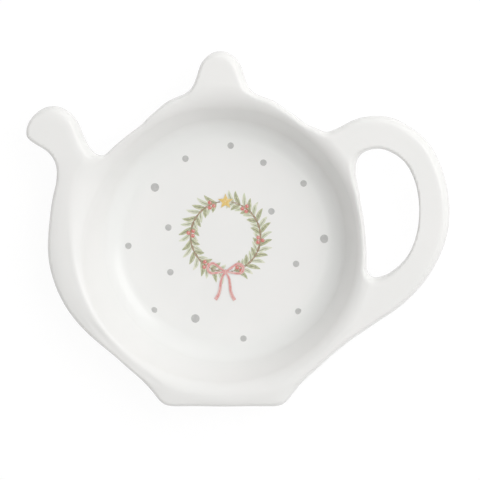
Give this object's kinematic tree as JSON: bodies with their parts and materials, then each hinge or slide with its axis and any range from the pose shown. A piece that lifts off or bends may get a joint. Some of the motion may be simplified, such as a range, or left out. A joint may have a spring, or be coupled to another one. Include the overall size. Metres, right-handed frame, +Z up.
{
  "type": "tea bag rest",
  "caption": "Glazed china rest for used tea bags: a round well in a flat teapot outline with spout, looped handle, lid knob and base, on a foot ring.",
  "frame": {"origin": "on the well's axis, in the plane of the foot ring's flat, which stands on the table", "axes": "+X towards the handle, +Y towards the lid knob, +Z up out of the well"},
  "size_m": [0.1197, 0.1005, 0.018],
  "materials": {
    "glaze": "clear glossy glaze over white china",
    "bisque": "unglazed, fine matt bisque",
    "print_grey": "grey transfer colour, fired under a glossy glaze",
    "print_brown": "brown transfer colour, fired under a glossy glaze",
    "print_pale_green": "pale green transfer colour, fired under a glossy glaze",
    "print_olive": "olive transfer colour, fired under a glossy glaze",
    "print_red": "red transfer colour, fired under a glossy glaze",
    "print_pink": "pink transfer colour, fired under a glossy glaze",
    "print_gold": "gold-yellow transfer colour, fired under a glossy glaze"
  },
  "bodies": {
    "root": {"bowl": "glaze", "foot_ring": "bisque", "spout": "glaze", "lid_knob": "glaze", "base_lip": "glaze", "handle": "glaze", "grey_dots": "print_grey", "twig_ring": "print_brown", "pale_leaves": "print_pale_green", "olive_leaves": "print_olive", "berries": "print_red", "ribbon_bow": "print_pink", "star": "print_gold"}
  },
  "joints": []
}
